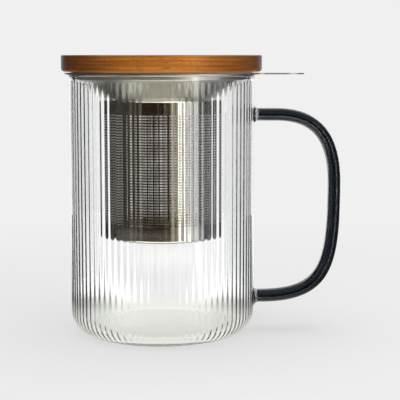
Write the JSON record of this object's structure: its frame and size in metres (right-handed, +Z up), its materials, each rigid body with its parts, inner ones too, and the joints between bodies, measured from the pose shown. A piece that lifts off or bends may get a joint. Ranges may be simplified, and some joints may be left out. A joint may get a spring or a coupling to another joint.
{
  "type": "lidded tea mug with infuser",
  "caption": "Ribbed clear glass mug with a smoked glass handle, a lift-out perforated steel infuser with a lift tab, and a round lift-off wooden lid.",
  "frame": {"origin": "on the mug's axis, on the plane that the foot stands on", "axes": "+Z up along the mug's axis, +X from the axis towards the handle and the infuser's lift tab, +Y to the mug's far side"},
  "size_m": [0.1304, 0.093, 0.13],
  "materials": {
    "clear_glass": "clear polished glass with vertical reeds",
    "smoked_glass": "polished smoked blue-grey glass",
    "infuser_steel": "fine brushed stainless steel",
    "lid_wood": "oiled acacia with a satin sheen",
    "seal_silicone": "translucent matte silicone"
  },
  "bodies": {
    "mug": {"glass_body": "clear_glass", "handle": "smoked_glass", "upper_handle_bead": "clear_glass", "lower_handle_bead": "clear_glass"},
    "infuser": {"infuser_collar": "infuser_steel", "infuser_sleeve": "infuser_steel", "infuser_base": "infuser_steel"},
    "lid": {"lid_upper_board": "lid_wood", "lid_lower_board": "lid_wood", "lid_plug": "lid_wood", "lid_seal": "seal_silicone"}
  },
  "joints": [
    {"name": "infuser_lift", "type": "slide", "parent": "mug", "child": "infuser", "axis": [0, 0, 1], "range_m": [0, 0.1]},
    {"name": "lid_lift", "type": "slide", "parent": "infuser", "child": "lid", "axis": [0, 0, 1], "range_m": [0, 0.05]}
  ]
}
